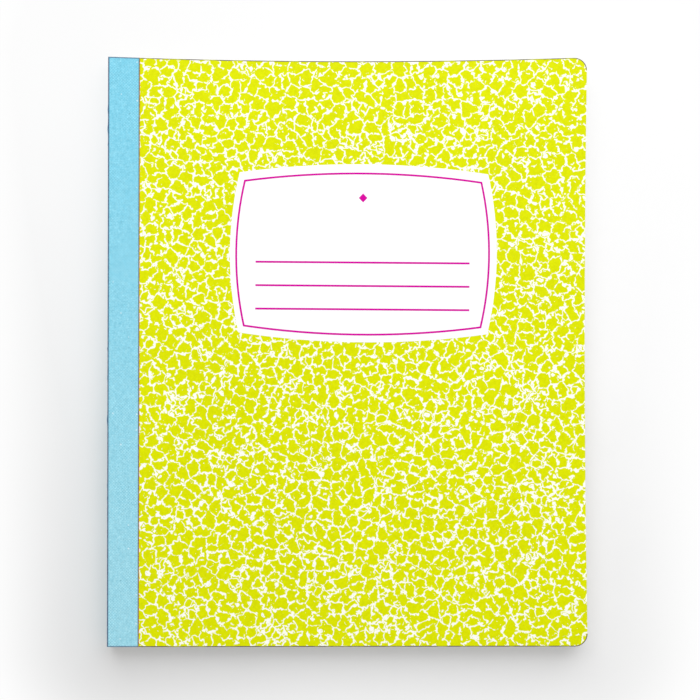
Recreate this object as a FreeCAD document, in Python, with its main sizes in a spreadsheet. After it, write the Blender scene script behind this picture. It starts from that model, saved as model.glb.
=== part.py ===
"""A composition notebook that lies on its back cover, head to +Y and spine to -X.

A folded and sewn section of leaves sits between two stiff boards. A strip of tape wraps the
spine and the edges of both boards. Leaves and boards are trimmed flush, with two round corners
at the fore edge. Millimetres. The origin is under the middle of the closed book.
"""
import FreeCAD, Part
from enum import IntEnum
import math
import os
import Sketcher

SIZES = [
    ("cover_width", 190.5, "spine to fore edge, over the tape"),
    ("cover_height", 234.0, "head to tail"),
    ("corner_radius", 5.0, "the two trimmed corners at the fore edge"),
    ("head_bow", 1.6, "how far the head edge dips at its middle"),
    ("fore_bow", 1.0, "how far the fore edge dips at its middle"),
    ("leaves_thickness", 8.0, "the pressed leaves together"),
    ("fold_radius", 3.0, "rounding of the outermost fold, either side of a pressed flat"),
    ("board_thickness", 1.0, "each cover board"),
    ("endpaper_thickness", 0.15, "the leaf pasted inside each board"),
    ("cover_play", 0.05, "air between a pasted leaf and the loose leaves"),
    ("tape_thickness", 0.25, "the binding tape"),
    ("tape_proud", 0.1, "how far the tape stands out from the board it is pressed into"),
    ("flap_width", 12.5, "tape seen on a cover, from the spine"),
    ("hinge_gap", 0.05, "between the tape of the spine and the tape of a cover"),
    ("step_gap", 0.05, "between the edge of the tape and the step pressed into the board"),
    ("board_gap", 0.15, "between the tape of the spine and the edge of a board"),
    ("thread_diameter", 0.5, "sewing thread"),
    ("thread_clearance", 0.05, "between the thread and the paper around it"),
    ("thread_sink", 0.03, "how far the thread lies under the flat of the fold"),
    ("stitch_length", 12.0, "one stitch, inside or outside the fold"),
    ("stitch_margin", 10.0, "least distance from the seam to the head and the tail"),
    ("label_width", 98.8, "white field, corner to corner"),
    ("label_height", 63.6, "white field, corner to corner"),
    ("label_bulge", 3.6, "how far each side of the white field curves out"),
    ("label_rise", 39.0, "middle of the label above the middle of the cover"),
    ("label_skew", 0.4, "degrees that the label is printed out of square, clockwise"),
    ("film_thickness", 0.04, "each printed layer"),
    ("print_shift", 0.3, "middle of the printed lines left of the middle of the white field"),
    ("line_width", 0.75, "every printed line"),
    ("border_side_margin", 2.1, "border to the side of the white field"),
    ("border_head_margin", 3.0, "border to the head of the white field"),
    ("border_tail_margin", 2.4, "border to the tail of the white field"),
    ("border_bulge", 3.3, "how far each side of the border curves out"),
    ("rule_margin", 6.9, "end of a writing rule to the side of the white field"),
    ("rule_drop", 3.7, "first writing rule below the middle of the label"),
    ("rule_pitch", 9.3, "one writing rule to the next"),
    ("rule_count", 3, "writing rules"),
    ("mark_width", 3.4, "the lozenge at the head of the label"),
    ("mark_height", 3.6, "the lozenge at the head of the label"),
    ("mark_rise", 22.0, "middle of the lozenge above the middle of the label"),
]

WORD = {alias: "Sizes." + alias for alias, _, _ in SIZES}
COVER = "({board_thickness} + {endpaper_thickness} + {cover_play})".format(**WORD)
TOTAL = "({leaves_thickness} + 2 * {tape_proud} + 2 * {cover})".format(cover=COVER, **WORD)
SPINE = "(-{cover_width} / 2)".format(**WORD)
FOLD = "({spine} + {tape_thickness})".format(spine=SPINE, **WORD)
BOARD_EDGE = "({fold} + {board_gap})".format(fold=FOLD, **WORD)
FLAP_START = "({fold} + {hinge_gap})".format(fold=FOLD, **WORD)
FLAP_END = "({spine} + {flap_width})".format(spine=SPINE, **WORD)
FORE_CORNER = "({cover_width} / 2 - {corner_radius})".format(**WORD)
HEAD_CORNER = "({cover_height} / 2 - {corner_radius})".format(**WORD)
HEAD_CHORD = "(({cover_width} - {corner_radius}) / 2)".format(**WORD)


def sagitta_radius(half_chord, sagitta):
    """Expression for the radius of an arc from half its chord and its depth."""
    return f"(({half_chord}) ^ 2 + ({sagitta}) ^ 2) / (2 * ({sagitta}))"


HEAD_RADIUS = sagitta_radius(HEAD_CHORD, WORD["head_bow"])
HEAD_CENTRE_X = "(-{corner_radius} / 2)".format(**WORD)
HEAD_CENTRE_Y = "({cover_height} / 2 - {head_bow} + {radius})".format(radius=HEAD_RADIUS, **WORD)
FORE_RADIUS = sagitta_radius(HEAD_CORNER, WORD["fore_bow"])
FORE_CENTRE_X = "({cover_width} / 2 - {fore_bow} + {radius})".format(radius=FORE_RADIUS, **WORD)

UP = FreeCAD.Vector(0, 0, 1)
TOUCH = 1e-6
SWEEP_SLACK = 0.001


class Spot(IntEnum):
    """Where on a line or an arc of a sketch a relation holds."""
    START = 1
    END = 2
    MIDDLE = 3


doc = FreeCAD.newDocument("notebook")


def point(x, y):
    return FreeCAD.Vector(x, y, 0)


def make_sheet():
    sheet = doc.addObject("Spreadsheet::Sheet", "Sizes")
    for row, (alias, value, meaning) in enumerate(SIZES, start=1):
        sheet.set(f"A{row}", alias)
        sheet.set(f"B{row}", str(value))
        sheet.set(f"C{row}", meaning)
        sheet.setAlias(f"B{row}", alias)
    doc.recompute()
    return sheet


sheet = make_sheet()


def value(expression):
    """The number that an expression over the sheet has now."""
    number = sheet.evalExpression(expression)
    return float(getattr(number, "Value", number))


def new_body(label):
    body = doc.addObject("PartDesign::Body", label)
    body.Label = label
    return body


def new_sketch(body, name, role="XY_Plane"):
    sketch = body.newObject("Sketcher::SketchObject", name)
    plane = next(item for item in body.Origin.OriginFeatures if item.Role == role)
    sketch.AttachmentSupport = [(plane, "")]
    sketch.MapMode = "FlatFace"
    return sketch


def tie(sketch, kind, *where, to):
    """Add a dimension to a sketch and bind it to an expression over the sheet."""
    index = sketch.addConstraint(Sketcher.Constraint(kind, *where, value(to)))
    sketch.renameConstraint(index, f"{kind}_{index}")
    sketch.setExpression(f"Constraints.{kind}_{index}", to)


def relate(sketch, kind, *where):
    sketch.addConstraint(Sketcher.Constraint(kind, *where))


def tie_point(sketch, item, end, across, up):
    tie(sketch, "DistanceX", item, end, to=across)
    tie(sketch, "DistanceY", item, end, to=up)


def line(sketch, start, end):
    return sketch.addGeometry(Part.LineSegment(point(*start), point(*end)))


def arc(sketch, centre, start, end):
    """An arc that turns anticlockwise from start to end."""
    radius = math.dist(centre, start)
    circle = Part.Circle(point(*centre), UP, radius)
    first = math.atan2(start[1] - centre[1], start[0] - centre[0])
    last = math.atan2(end[1] - centre[1], end[0] - centre[0])
    return sketch.addGeometry(Part.ArcOfCircle(circle, first, last))


def head_height(across):
    """Height of the bowed head edge at a distance across the cover."""
    reach = across - value(HEAD_CENTRE_X)
    return value(HEAD_CENTRE_Y) - math.sqrt(value(HEAD_RADIUS) ** 2 - reach ** 2)


def draw_trimmed_outline(sketch, left):
    """A leaf or board: straight tail and spine side, bowed head and fore edge, two round corners."""
    start = value(left)
    tail = -value(WORD["cover_height"]) / 2
    radius = value(WORD["corner_radius"])
    fore = value(WORD["cover_width"]) / 2
    corner_x = value(FORE_CORNER)
    corner_y = value(HEAD_CORNER)
    head_middle = (value(HEAD_CENTRE_X), value(HEAD_CENTRE_Y))
    tail_side = line(sketch, (start, tail), (corner_x, tail))
    tail_corner = arc(sketch, (corner_x, -corner_y), (corner_x, tail), (fore, -corner_y))
    fore_side = arc(sketch, (value(FORE_CENTRE_X), 0), (fore, corner_y), (fore, -corner_y))
    head_corner = arc(sketch, (corner_x, corner_y), (fore, corner_y), (corner_x, corner_y + radius))
    head_side = arc(sketch, head_middle, (start, head_height(start)), (corner_x, -tail))
    spine_side = line(sketch, (start, head_height(start)), (start, tail))
    relate(sketch, "Coincident", tail_side, Spot.END, tail_corner, Spot.START)
    relate(sketch, "Coincident", tail_corner, Spot.END, fore_side, Spot.END)
    relate(sketch, "Coincident", fore_side, Spot.START, head_corner, Spot.START)
    relate(sketch, "Coincident", head_corner, Spot.END, head_side, Spot.END)
    relate(sketch, "Coincident", head_side, Spot.START, spine_side, Spot.START)
    relate(sketch, "Coincident", spine_side, Spot.END, tail_side, Spot.START)
    relate(sketch, "Horizontal", tail_side)
    relate(sketch, "Vertical", spine_side)
    relate(sketch, "Vertical", tail_corner, Spot.START, tail_corner, Spot.MIDDLE)
    relate(sketch, "Horizontal", tail_corner, Spot.END, tail_corner, Spot.MIDDLE)
    relate(sketch, "Horizontal", head_corner, Spot.START, head_corner, Spot.MIDDLE)
    relate(sketch, "Vertical", head_corner, Spot.END, head_corner, Spot.MIDDLE)
    for corner, side in ((tail_corner, "-"), (head_corner, "")):
        tie_point(sketch, corner, Spot.MIDDLE, FORE_CORNER, side + HEAD_CORNER)
        tie(sketch, "Radius", corner, to=WORD["corner_radius"])
    tie(sketch, "DistanceX", fore_side, Spot.MIDDLE, to=FORE_CENTRE_X)
    tie_point(sketch, head_side, Spot.MIDDLE, HEAD_CENTRE_X, HEAD_CENTRE_Y)
    tie(sketch, "DistanceX", tail_side, Spot.START, to=left)


def draw_strip(sketch, left, right):
    """A strip beside the spine, from the tail to the bowed head edge."""
    start = value(left)
    stop = value(right)
    tail = -value(WORD["cover_height"]) / 2
    head_middle = (value(HEAD_CENTRE_X), value(HEAD_CENTRE_Y))
    tail_side = line(sketch, (start, tail), (stop, tail))
    right_side = line(sketch, (stop, tail), (stop, head_height(stop)))
    head_side = arc(sketch, head_middle, (start, head_height(start)), (stop, head_height(stop)))
    left_side = line(sketch, (start, head_height(start)), (start, tail))
    relate(sketch, "Coincident", tail_side, Spot.END, right_side, Spot.START)
    relate(sketch, "Coincident", right_side, Spot.END, head_side, Spot.END)
    relate(sketch, "Coincident", head_side, Spot.START, left_side, Spot.START)
    relate(sketch, "Coincident", left_side, Spot.END, tail_side, Spot.START)
    relate(sketch, "Horizontal", tail_side)
    relate(sketch, "Vertical", right_side)
    relate(sketch, "Vertical", left_side)
    tie_point(sketch, head_side, Spot.MIDDLE, HEAD_CENTRE_X, HEAD_CENTRE_Y)
    tie(sketch, "Radius", head_side, to=HEAD_RADIUS)
    tie_point(sketch, tail_side, Spot.START, left, "-{cover_height} / 2".format(**WORD))
    tie(sketch, "DistanceX", tail_side, Spot.END, to=right)


def pad(body, sketch, length, midplane=False):
    feature = body.newObject("PartDesign::Pad", sketch.Name + "_pad")
    feature.Profile = sketch
    feature.Midplane = midplane
    feature.setExpression("Length", length)
    doc.recompute()
    return feature


def lift(body, height):
    body.setExpression(".Placement.Base.z", height)


def make_layer(label, left, thickness, height):
    """One trimmed sheet or board, its lower face at a height."""
    body = new_body(label)
    sketch = new_sketch(body, label + "_outline")
    draw_trimmed_outline(sketch, left)
    pad(body, sketch, thickness)
    lift(body, height)
    return body


def make_board(label, height, outer_face_up):
    """A cover board with a shallow step on its outer face, where the tape is pressed in."""
    body = make_layer(label, BOARD_EDGE, WORD["board_thickness"], height)
    whole = body.Shape.Volume
    sketch = new_sketch(body, label + "_step")
    if outer_face_up:
        sketch.setExpression(".AttachmentOffset.Base.z", WORD["board_thickness"])
    draw_strip(sketch, BOARD_EDGE, "({end} + {step_gap})".format(end=FLAP_END, **WORD))
    pocket = body.newObject("PartDesign::Pocket", label + "_step_pocket")
    pocket.Profile = sketch
    pocket.Reversed = not outer_face_up
    pocket.setExpression("Length", "{tape_thickness} - {tape_proud}".format(**WORD))
    doc.recompute()
    if body.Shape.Volume >= whole:
        raise RuntimeError(label + ": the step for the tape cuts nothing")
    return body


def make_flap(label, height):
    """The tape on one cover, from just beside the spine to its cut edge."""
    body = new_body(label)
    sketch = new_sketch(body, label + "_outline")
    draw_strip(sketch, FLAP_START, FLAP_END)
    pad(body, sketch, WORD["tape_thickness"])
    lift(body, height)
    return body


def make_spine_tape(label):
    """The tape over the spine. Each long edge is round about the line where a cover turns."""
    body = new_body(label)
    sketch = new_sketch(body, label + "_section", "XZ_Plane")
    radius = "{tape_thickness} / 2".format(**WORD)
    across = "{spine} + {radius}".format(spine=SPINE, radius=radius)
    top = "{total} - {radius}".format(total=TOTAL, radius=radius)
    middle = value(across)
    reach = value(radius)
    low = value(radius)
    high = value(top)
    outer = line(sketch, (middle - reach, high), (middle - reach, low))
    lower = arc(sketch, (middle, low), (middle - reach, low), (middle + reach, low))
    inner = line(sketch, (middle + reach, low), (middle + reach, high))
    upper = arc(sketch, (middle, high), (middle + reach, high), (middle - reach, high))
    sides = (outer, lower, inner, upper)
    for one, other in zip(sides, sides[1:] + sides[:1]):
        relate(sketch, "Tangent", one, Spot.END, other, Spot.START)
    relate(sketch, "Vertical", outer)
    tie_point(sketch, lower, Spot.MIDDLE, across, radius)
    tie(sketch, "DistanceY", upper, Spot.MIDDLE, to=top)
    tie(sketch, "Radius", lower, to=radius)
    pad(body, sketch, WORD["cover_height"], midplane=True)
    return body


def make_leaves(label, height):
    """The pressed leaves as one block, with its fold rounded on both sides."""
    body = make_layer(label, FOLD, WORD["leaves_thickness"], height)
    block = body.Tip
    fold = value(FOLD)
    names = []
    for number, edge in enumerate(block.Shape.Edges, start=1):
        box = edge.BoundBox
        if box.YLength > value(HEAD_CORNER) and abs(box.XMax - fold) < TOUCH:
            names.append(f"Edge{number}")
    rounding = body.newObject("PartDesign::Fillet", label + "_fold")
    rounding.Base = (block, names)
    rounding.setExpression("Radius", WORD["fold_radius"])
    body.Tip = rounding
    doc.recompute()
    return body


def stitch_wire(overrun):
    """The thread's middle line: running stitches, inside and outside the fold in turn."""
    length = value(WORD["stitch_length"])
    room = value(WORD["cover_height"]) - 2 * value(WORD["stitch_margin"])
    count = int(room // length)
    count -= (count + 1) % 2
    outside = value(FOLD) + value(WORD["thread_sink"]) + value(WORD["thread_diameter"]) / 2
    inside = value(FOLD) + value(WORD["leaves_thickness"]) / 2
    height = value(TOTAL) / 2
    low = -count * length / 2
    corners = [FreeCAD.Vector(inside, low - overrun, height)]
    for number in range(1, count):
        sides = (inside, outside) if number % 2 else (outside, inside)
        corners += [FreeCAD.Vector(side, low + number * length, height) for side in sides]
    corners.append(FreeCAD.Vector(inside, -low + overrun, height))
    return Part.makePolygon(corners)


def make_seam(label, radius, overrun):
    """A round bar along the stitches."""
    wire = stitch_wire(overrun)
    path = doc.addObject("Part::Feature", label + "_path")
    path.Shape = wire
    section = doc.addObject("Part::Circle", label + "_section")
    section.setExpression("Radius", radius)
    along = FreeCAD.Rotation(UP, FreeCAD.Vector(0, 1, 0))
    section.Placement = FreeCAD.Placement(wire.OrderedVertexes[0].Point, along)
    seam = doc.addObject("Part::Sweep", label)
    seam.Label = label
    seam.Sections = [section]
    seam.Spine = (path, [f"Edge{number + 1}" for number in range(len(wire.Edges))])
    seam.Solid = True
    seam.Transition = "Right corner"
    doc.recompute()
    expected = math.pi * value(radius) ** 2 * wire.Length
    if abs(seam.Shape.Volume - expected) > SWEEP_SLACK * expected:
        raise RuntimeError(label + ": the seam's volume is not its section times its length")
    return seam


def make_page_block():
    """The leaves, pierced and grooved for the thread."""
    height = "{tape_proud} + {cover}".format(cover=COVER, **WORD)
    leaves = make_leaves("leaves", height)
    hole = "{thread_diameter} / 2 + {thread_clearance}".format(**WORD)
    channel = make_seam("thread_channel", hole, value(WORD["thread_clearance"]))
    block = doc.addObject("Part::Cut", "page_block")
    block.Label = "page_block"
    block.Base = leaves
    block.Tool = channel
    doc.recompute()
    if block.Shape.Volume >= leaves.Shape.Volume:
        raise RuntimeError("page_block: the thread's channel cuts nothing")
    return block


def place_on_label(body, layer):
    """Set a printed layer on the front board, 0 for the white field and 1 for what is over it."""
    body.Placement = FreeCAD.Placement(FreeCAD.Vector(), FreeCAD.Rotation(UP, -1))
    height = "{total} - {tape_proud} + {layer} * {film_thickness}"
    across = "{flap_width} / 2 - {layer} * {print_shift}"
    body.setExpression(".Placement.Base.x", across.format(layer=layer, **WORD))
    body.setExpression(".Placement.Base.y", WORD["label_rise"])
    lift(body, height.format(total=TOTAL, layer=layer, **WORD))
    body.setExpression(".Placement.Rotation.Angle", "-{label_skew}".format(**WORD))


def draw_barrel(sketch, half_width, head, tail, bulge):
    """Four corners joined by arcs that curve out. Head and tail are heights of the corners."""
    across = value(half_width)
    high = value(head)
    low = value(tail)
    wide = value(sagitta_radius(half_width, bulge))
    half_height = f"(({head}) - ({tail})) / 2"
    tall = value(sagitta_radius(half_height, bulge))
    swell = value(bulge)
    middle = (high + low) / 2
    corners = ((across, low), (across, high), (-across, high), (-across, low))
    centres = (
        (across + swell - tall, middle),
        (0, high + swell - wide),
        (tall - across - swell, middle),
        (0, wide - swell + low),
    )
    sides = [arc(sketch, centres[n], corners[n], corners[(n + 1) % 4]) for n in range(4)]
    heights = (tail, head, head, tail)
    signs = ("", "", "-", "-")
    radii = [sagitta_radius(chord, bulge) for chord in (half_height, half_width)] * 2
    for number, side in enumerate(sides):
        relate(sketch, "Coincident", side, Spot.END, sides[(number + 1) % 4], Spot.START)
        tie_point(sketch, side, Spot.START, f"{signs[number]}({half_width})", heights[number])
        tie(sketch, "Radius", side, to=radii[number])
    return sides, radii


def draw_inner_barrel(sketch, outer, radii, width):
    """A second barrel inside the first, one line's width away all round."""
    inner = []
    for rim in [sketch.Geometry[side] for side in outer]:
        centre = (rim.Center.x, rim.Center.y)
        shrink = 1 - value(width) / rim.Radius
        ends = []
        for end in (rim.StartPoint, rim.EndPoint):
            ends.append([c + (e - c) * shrink for c, e in zip(centre, (end.x, end.y))])
        inner.append(arc(sketch, centre, *ends))
    for number, side in enumerate(inner):
        relate(sketch, "Coincident", side, Spot.MIDDLE, outer[number], Spot.MIDDLE)
        relate(sketch, "Coincident", side, Spot.END, inner[(number + 1) % 4], Spot.START)
        tie(sketch, "Radius", side, to=f"{radii[number]} - {width}")


def make_label_panel(label):
    body = new_body(label)
    sketch = new_sketch(body, label + "_outline")
    half_height = "{label_height} / 2".format(**WORD)
    draw_barrel(sketch, "{label_width} / 2".format(**WORD), half_height, "-" + half_height,
                WORD["label_bulge"])
    pad(body, sketch, WORD["film_thickness"])
    place_on_label(body, 0)
    return body


def make_label_border(label):
    body = new_body(label)
    sketch = new_sketch(body, label + "_outline")
    half_width = "{label_width} / 2 - {border_side_margin}".format(**WORD)
    head = "{label_height} / 2 - {border_head_margin}".format(**WORD)
    tail = "{border_tail_margin} - {label_height} / 2".format(**WORD)
    outer, radii = draw_barrel(sketch, half_width, head, tail, WORD["border_bulge"])
    draw_inner_barrel(sketch, outer, radii, WORD["line_width"])
    pad(body, sketch, WORD["film_thickness"])
    place_on_label(body, 1)
    return body


def draw_polygon(sketch, corners):
    """Straight sides through corners, each corner a pair of expressions."""
    spots = [(value(across), value(up)) for across, up in corners]
    sides = [line(sketch, spot, after) for spot, after in zip(spots, spots[1:] + spots[:1])]
    for number, side in enumerate(sides):
        relate(sketch, "Coincident", side, Spot.END, sides[(number + 1) % len(sides)], Spot.START)
        tie_point(sketch, side, Spot.START, *corners[number])


def make_label_rules(label):
    body = new_body(label)
    sketch = new_sketch(body, label + "_first")
    half_width = "({label_width} / 2 - {rule_margin})".format(**WORD)
    top = "({line_width} / 2 - {rule_drop})".format(**WORD)
    bottom = "(-{line_width} / 2 - {rule_drop})".format(**WORD)
    draw_polygon(sketch, [("-" + half_width, bottom), (half_width, bottom),
                          (half_width, top), ("-" + half_width, top)])
    first = pad(body, sketch, WORD["film_thickness"])
    rows = body.newObject("PartDesign::LinearPattern", label + "_rows")
    rows.Originals = [first]
    rows.Direction = (sketch, ["V_Axis"])
    rows.Reversed = True
    rows.setExpression("Length", "{rule_pitch} * ({rule_count} - 1)".format(**WORD))
    rows.setExpression("Occurrences", WORD["rule_count"])
    body.Tip = rows
    doc.recompute()
    if len(body.Shape.Solids) != int(value(WORD["rule_count"])):
        raise RuntimeError(label + ": a writing rule is missing")
    if body.Shape.BoundBox.YMax > first.Shape.BoundBox.YMax + TOUCH:
        raise RuntimeError(label + ": the writing rules go the wrong way")
    place_on_label(body, 1)
    return body


def make_label_mark(label):
    body = new_body(label)
    sketch = new_sketch(body, label + "_outline")
    half_width = "{mark_width} / 2".format(**WORD)
    rise = WORD["mark_rise"]
    half_height = "{mark_height} / 2".format(**WORD)
    draw_polygon(sketch, [("-" + half_width, rise), ("0", f"{rise} - {half_height}"),
                          (half_width, rise), ("0", f"{rise} + {half_height}")])
    pad(body, sketch, WORD["film_thickness"])
    place_on_label(body, 1)
    return body


def make_book():
    """Every piece of the notebook, from the back cover up."""
    proud = WORD["tape_proud"]
    board = WORD["board_thickness"]
    paper = WORD["endpaper_thickness"]
    thread = "{thread_diameter} / 2".format(**WORD)
    return [
        make_board("back_board", proud, outer_face_up=False),
        make_layer("back_pastedown", BOARD_EDGE, paper, f"{proud} + {board}"),
        make_flap("tape_back_flap", "0"),
        make_page_block(),
        make_seam("sewing_thread", thread, 0),
        make_spine_tape("tape_spine"),
        make_layer("front_pastedown", BOARD_EDGE, paper, f"{TOTAL} - {proud} - {board} - {paper}"),
        make_board("front_board", f"{TOTAL} - {proud} - {board}", outer_face_up=True),
        make_flap("tape_front_flap", f"{TOTAL} - " + WORD["tape_thickness"]),
        make_label_panel("label_panel"),
        make_label_border("label_border"),
        make_label_rules("label_rules"),
        make_label_mark("label_mark"),
    ]


def check(pieces):
    for item in doc.Objects:
        if "Invalid" in item.State or "Error" in item.State:
            raise RuntimeError(f"{item.Label} failed: {item.State}")
    for piece in pieces:
        if piece.Shape.isNull() or not piece.Shape.isValid() or not piece.Shape.Solids:
            raise RuntimeError(f"{piece.Label} has no valid solid")


pieces = make_book()
doc.recompute()
check(pieces)
os.makedirs("parts", exist_ok=True)
for piece in pieces:
    piece.Shape.exportStep(f"parts/{piece.Label}.step")
    box = piece.Shape.BoundBox
    print(f"{piece.Label}: {len(piece.Shape.Solids)} solid(s), {piece.Shape.Volume:.2f} mm3, "
          f"x {box.XMin:.3f} to {box.XMax:.3f}, y {box.YMin:.3f} to {box.YMax:.3f}, "
          f"z {box.ZMin:.3f} to {box.ZMax:.3f}")
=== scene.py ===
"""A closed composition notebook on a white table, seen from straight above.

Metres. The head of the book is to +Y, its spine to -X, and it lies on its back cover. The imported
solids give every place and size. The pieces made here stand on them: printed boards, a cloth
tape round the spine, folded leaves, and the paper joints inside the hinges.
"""
import math
import random

import bmesh
import bpy
from mathutils import Matrix, Vector


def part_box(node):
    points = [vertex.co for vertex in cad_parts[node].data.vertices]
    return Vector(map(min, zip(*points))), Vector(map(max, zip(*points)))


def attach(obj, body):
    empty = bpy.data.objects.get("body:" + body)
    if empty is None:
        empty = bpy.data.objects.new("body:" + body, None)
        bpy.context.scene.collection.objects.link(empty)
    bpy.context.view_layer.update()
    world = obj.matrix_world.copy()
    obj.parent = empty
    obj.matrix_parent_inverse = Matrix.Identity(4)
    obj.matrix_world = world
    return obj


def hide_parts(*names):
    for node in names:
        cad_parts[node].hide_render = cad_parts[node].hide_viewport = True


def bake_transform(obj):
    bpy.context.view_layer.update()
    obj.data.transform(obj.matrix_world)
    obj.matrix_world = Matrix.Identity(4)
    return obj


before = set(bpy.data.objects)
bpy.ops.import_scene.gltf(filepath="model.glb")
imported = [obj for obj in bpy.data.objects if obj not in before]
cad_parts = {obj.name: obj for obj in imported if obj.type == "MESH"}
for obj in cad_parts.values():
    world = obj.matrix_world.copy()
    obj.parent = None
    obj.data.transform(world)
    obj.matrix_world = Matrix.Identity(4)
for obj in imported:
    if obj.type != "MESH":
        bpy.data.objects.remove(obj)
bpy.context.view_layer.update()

bl_info = {
    "name": "Composition notebook",
    "version": (1, 0, 0),
    "blender": (4, 5, 0),
    "location": "3D View > Sidebar > Notebook",
    "description": "Boards, tape, leaves, label and studio for a marbled composition notebook",
    "category": "Add Mesh",
}

MM = 0.001
TINY = 1e-6

# Places on the closed book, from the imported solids.
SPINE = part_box("tape_spine")[0].x
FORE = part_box("front_board")[1].x
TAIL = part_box("tape_spine")[0].y
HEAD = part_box("tape_spine")[1].y
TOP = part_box("tape_spine")[1].z
TAPE_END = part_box("tape_front_flap")[1].x
BOARD_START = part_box("front_board")[0].x
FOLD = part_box("page_block")[0].x
LEAVES_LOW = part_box("page_block")[0].z
LEAVES_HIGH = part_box("page_block")[1].z
MIDDLE = (LEAVES_LOW + LEAVES_HIGH) / 2
FRONT_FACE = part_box("front_board")[1].z
FRONT_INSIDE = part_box("front_board")[0].z
PRESSED_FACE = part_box("tape_front_flap")[0].z
PASTED_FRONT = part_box("front_pastedown")[0].z

# The trimmed outline: round corners at the fore edge, and slight dips in the head and fore edges.
CORNER = 5 * MM
HEAD_BOW = 1.6 * MM
FORE_BOW = 1.0 * MM
CORNER_X = FORE - CORNER
CORNER_Y = HEAD - CORNER
BOW_MIDDLE = -CORNER / 2

# The board is pressed in under the tape. Its step is a hair beyond the tape's cut edge.
STEP_GAP = 0.05 * MM

# The tape at a hinge: the runs of close rows beside its bend, on the flap and on the spine.
# Smooth shading stops at the angle.
SMOOTH_ANGLE = math.radians(40)
FLAP_RUN = 0.5 * MM
WALL_RUN = 0.6 * MM

# A paper joint inside a hinge: where it leaves the board, its thickness, its bend, how far it goes
# down from there, and its gap to the fold. A hair parts papers that lie on each other. Last come a
# low and a high place in the hinge; the joints are not moved to them.
JOINT_START = -93.3 * MM
JOINT_PAPER = 0.11 * MM
JOINT_BEND = 0.45 * MM
JOINT_DROP = 1.36 * MM
FOLD_GAP = 0.05 * MM
HAIR = 0.01 * MM
JOINT_LOW = Vector((FOLD + 0.07 * MM, 0, PASTED_FRONT - 0.65 * MM))
JOINT_HIGH = Vector((FOLD + 0.65 * MM, 0, PASTED_FRONT - 0.05 * MM))

# The outer pages start beyond the round of the fold.
PAGE_START = FOLD + 3.05 * MM

# A folded sheet: how round its fold is, and how much of its share of the block it fills.
FOLD_ROUNDNESS = 0.75
SHEET_FILL = 0.88

# The name of the places that a bending piece has at rest, for its patterns.
REST_PLACE = "rest_place"


def sagitta_radius(half_chord, depth):
    """Radius of an arc from half its chord and its depth."""
    return (half_chord ** 2 + depth ** 2) / (2 * depth)


HEAD_RADIUS = sagitta_radius((CORNER_X - SPINE) / 2, HEAD_BOW)
FORE_RADIUS = sagitta_radius(CORNER_Y, FORE_BOW)


def head_dip(across):
    """How far the head edge lies below its two ends."""
    reach = across - BOW_MIDDLE
    return HEAD_BOW - HEAD_RADIUS + math.sqrt(HEAD_RADIUS ** 2 - reach ** 2)


def fore_dip(up):
    """How far the fore edge lies inside its two ends."""
    return FORE_BOW - FORE_RADIUS + math.sqrt(FORE_RADIUS ** 2 - up ** 2)


def ink(red, green, blue):
    """A printed colour, from 0 to 255 as a swatch gives it, as Blender's linear colour."""
    shares = []
    for level in (red, green, blue):
        share = level / 255
        shares.append(share / 12.92 if share <= 0.04045 else ((share + 0.055) / 1.055) ** 2.4)
    return tuple(shares)


YELLOW = ink(216, 223, 0)
MAGENTA = ink(208, 0, 154)
TAPE_BLUE = ink(120, 202, 227)
COVER_PAPER = ink(249, 249, 242)
LABEL_PAPER = ink(247, 248, 253)
BOARD_BROWN = ink(92, 82, 66)
LEAF_WHITE = ink(238, 235, 224)
RULE_BLUE = ink(150, 188, 222)
MARGIN_PINK = ink(232, 130, 150)
THREAD_WHITE = ink(238, 236, 228)
TAPE_STEP_SHADOW = ink(236, 150, 20)
WORN_BLUE = ink(172, 220, 230)

# Marbling, in millimetres, slanted so that no vein runs along the book's edges. Each web of
# veins: cell, vein, size of the patches where it shows, where in the noise it starts and is
# whole, the chance above which it parts a whole cell of the web before it, and how far it is
# moved away from the others.
SLANT = math.radians(33)
VEIN_WEBS = (
    (4.7, 0.64, 1.8, 0.385, 0.415, 1.0, 3.0),
    (3.6, 0.54, 1.3, 0.71, 0.74, 0.90, 17.0),
)
# The veins wander: size and reach of the waves, and how much finer waves add to them.
WANDER_SIZE = 2.1
WANDER_REACH = 2.75
WANDER_DETAIL = 1.2
WANDER_ROUGHNESS = 0.48
# A vein's half width swells between two shares of the web's vein, in knots of this size.
KNOT_SIZE = 1.2
KNOT_THIN = 0.38
KNOT_THICK = 0.58
# Dots and rings of bare paper: cell, the chance above which a cell has one, largest half width.
# A ring's middle line lies this many half widths from its centre.
SPECK_CELL = 2.8
SPECK_CHANCE = 0.80
SPECK_WIDTH = 0.36
RING = 1.4
# The ragged edge of the ink: size and depth of its grain, and half the width of its fade.
GRAIN_SIZE = 0.9
GRAIN_DEPTH = 0.18
INK_FADE = 0.12
# How far under the ink a vein or a dot lies where it doesn't show.
HIDDEN = 0.15

# Tape, in millimetres: pitch of the diagonal check, cell of the paint flecks, and the colours of
# the pale flecks, of the painted shade along the folds and of the dark band at the cut edge.
TWILL = 1.15
FLECK_CELL = 3.1
PALE_FLECK = (0.86, 0.95, 0.97)
FOLD_SHADE = (0.055, 0.075, 0.16)
CUT_EDGE_DARK = (0.12, 0.055, 0.09)

# Lumps of thread and glue under the tape along the spine, in millimetres: height on the book,
# reach, swell. Their depths under the face: start, length of the rise, and end. On the back half
# they are turned end for end and moved along.
SPINE_LUMPS = (
    (96.1, 1.8, 0.28),
    (88.3, 2.2, 0.34),
    (82.2, 0.9, 0.22),
    (1.0, 0.9, 0.24),
    (-10.5, 1.0, 0.26),
    (-27.2, 2.2, 0.34),
    (-53.4, 1.0, 0.26),
    (-58.5, 0.9, 0.22),
)
LUMP_START = 0.3
LUMP_RISE = 0.7
LUMP_END = 5.2
LUMP_SHIFT = 9.0

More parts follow.
